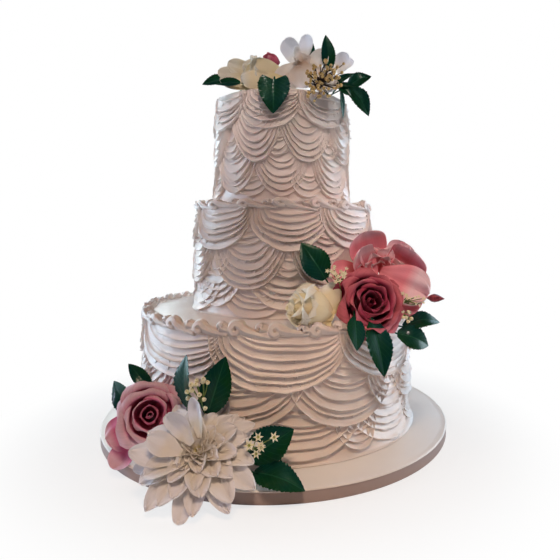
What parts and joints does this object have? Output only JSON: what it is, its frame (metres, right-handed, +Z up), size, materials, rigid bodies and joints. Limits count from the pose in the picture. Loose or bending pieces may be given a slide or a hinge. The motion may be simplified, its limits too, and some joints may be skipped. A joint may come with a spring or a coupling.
{
  "type": "tiered wedding cake",
  "caption": "Tiered buttercream wedding cake on a round board, with swagged sides, piped rims and clusters of roses, a dahlia, a peony and leaves.",
  "frame": {"origin": "centre of the cake board's underside, where it rests", "axes": "+Z up the axis of the board and bottom tier, -Y towards the front, +X to the right seen from the front"},
  "size_m": [0.4064, 0.4452, 0.462],
  "materials": {
    "icing": "buttercream spread in strokes, satin",
    "drum_wrap": "white covered cake board, satin",
    "petal_white": "silk petals, matt",
    "petal_mauve": "foam petals, matt, darker inside",
    "petal_brick": "foam petals, matt, darker inside",
    "petal_coral": "silk petals, soft sheen",
    "petal_cream": "foam petals, matt",
    "petal_blush": "silk petals, soft sheen",
    "petal_pink": "foam petals, matt",
    "leaf_green": "coated silk leaves, satin",
    "berry_cream": "small beads on stems",
    "berry_gold": "small dry florets on stems",
    "filler_star": "tiny pointed florets"
  },
  "bodies": {
    "root": {"cake_drum": "drum_wrap", "tier_bottom": "icing", "tier_middle": "icing", "tier_top": "icing", "border_bottom": "icing", "border_middle": "icing", "dahlia_white": "petal_white", "rose_mauve": "petal_mauve", "rose_brick": "petal_brick", "rose_cream_ledge": "petal_cream", "peony_coral": "petal_coral", "rose_cream_top": "petal_cream", "bloom_white": "petal_blush", "bud_pink": "petal_pink", "blossom_small": "petal_blush", "sprig_foot_berry": "berry_cream", "sprig_foot_star": "filler_star", "sprig_ledge_1": "berry_cream", "sprig_ledge_2": "berry_cream", "sprig_ledge_3": "berry_cream", "sprig_top_gold": "berry_gold", "pod_ledge": "petal_brick", "leaf_foot_1": "leaf_green", "leaf_foot_2": "leaf_green", "leaf_foot_3": "leaf_green", "leaf_foot_4": "leaf_green", "leaf_foot_5": "leaf_green", "leaf_foot_6": "leaf_green", "leaf_ledge_1": "leaf_green", "leaf_ledge_2": "leaf_green", "leaf_ledge_3": "leaf_green", "leaf_ledge_4": "leaf_green", "leaf_ledge_5": "leaf_green", "leaf_top_1": "leaf_green", "leaf_top_2": "leaf_green", "leaf_top_3": "leaf_green", "leaf_top_4": "leaf_green", "leaf_top_5": "leaf_green", "leaf_top_6": "leaf_green", "leaf_top_7": "leaf_green", "leaf_top_8": "leaf_green"}
  },
  "joints": []
}
